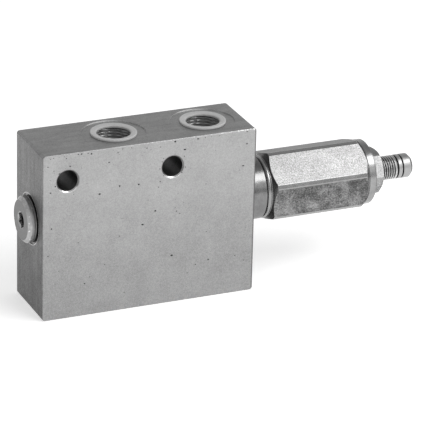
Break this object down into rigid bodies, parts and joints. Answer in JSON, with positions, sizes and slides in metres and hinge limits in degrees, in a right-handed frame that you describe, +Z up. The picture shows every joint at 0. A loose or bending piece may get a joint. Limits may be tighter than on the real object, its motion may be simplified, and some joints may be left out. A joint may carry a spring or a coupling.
{
  "type": "cartridge valve",
  "caption": "Adjustable relief cartridge with hexagonal spring housing, lock nut and adjusting screw, screwed into a drilled steel block with threaded ports on top.",
  "frame": {"origin": "centre of the block's bottom face", "axes": "+X along the cartridge towards the adjusting screw, +Y from the block's front face to its back face, +Z up through the ports"},
  "size_m": [0.1695, 0.03, 0.0705],
  "materials": {
    "block_steel": "zinc plated, satin, finely blasted front and back, milled ends and top",
    "plug_steel": "zinc plated, satin",
    "washer_steel": "bright zinc",
    "turned_steel": "bright turned",
    "housing_steel": "zinc plated drawn bar, matt flats, bright turned ends",
    "screw_steel": "plain turned, rolled thread",
    "nut_steel": "bright zinc",
    "hardened_steel": "ground",
    "spring_steel": "dark, shot peened",
    "nitrile": "black, matt",
    "ptfe": "white, waxy",
    "protector_plastic": "pale grey, waxy"
  },
  "bodies": {
    "valve_body": {"valve_block": "block_steel", "blanking_plug": "plug_steel", "plug_washer": "washer_steel", "plug_washer_seal": "nitrile", "cartridge_sleeve": "turned_steel", "collar_oring": "nitrile", "nose_oring": "nitrile", "nose_backup_rings": "ptfe", "valve_seat": "hardened_steel", "main_spring": "spring_steel", "spring_housing": "housing_steel", "housing_oring": "nitrile"},
    "poppet_group": {"poppet": "hardened_steel", "thrust_ball": "hardened_steel", "front_spring_plate": "turned_steel"},
    "piston_group": {"rear_spring_plate": "turned_steel", "piston_oring": "nitrile", "piston_backup_ring": "ptfe"},
    "screw": {"adjusting_screw": "screw_steel"},
    "nut_seal": {"lock_nut_seal": "nitrile"},
    "nut": {"lock_nut": "nut_steel"},
    "protector_left": {"port_protector_left": "protector_plastic"},
    "protector_right": {"port_protector_right": "protector_plastic"}
  },
  "joints": [
    {"name": "poppet_lift", "type": "slide", "parent": "valve_body", "child": "poppet_group", "axis": [1, 0, 0], "range_m": [0, 0.0025], "stiffness_N_per_m": 800, "springref_m": -0.003, "deforming": ["main_spring"]},
    {"name": "adjust_travel", "type": "slide", "parent": "valve_body", "child": "piston_group", "axis": [1, 0, 0], "range_m": [-0.004, 0.003], "deforming": ["main_spring"]},
    {"name": "screw_turn", "type": "hinge", "parent": "piston_group", "child": "screw", "pos_m": [0.1, 0, 0.0382], "axis": [1, 0, 0], "range_deg": [-1440, 1080]},
    {"name": "nut_travel", "type": "slide", "parent": "valve_body", "child": "nut_seal", "axis": [1, 0, 0], "range_m": [0, 0.003]},
    {"name": "nut_turn", "type": "hinge", "parent": "nut_seal", "child": "nut", "pos_m": [0.1031, 0, 0.0382], "axis": [1, 0, 0], "range_deg": [0, 1080]},
    {"name": "protector_left_pull", "type": "slide", "parent": "valve_body", "child": "protector_left", "axis": [0, 0, 1], "range_m": [0, 0.02]},
    {"name": "protector_right_pull", "type": "slide", "parent": "valve_body", "child": "protector_right", "axis": [0, 0, 1], "range_m": [0, 0.02]}
  ],
  "couplings": [
    {"joint": "adjust_travel", "follows": "screw_turn", "m_per_rad": 0.00015915},
    {"joint": "nut_travel", "follows": "nut_turn", "m_per_rad": 0.00015915}
  ]
}
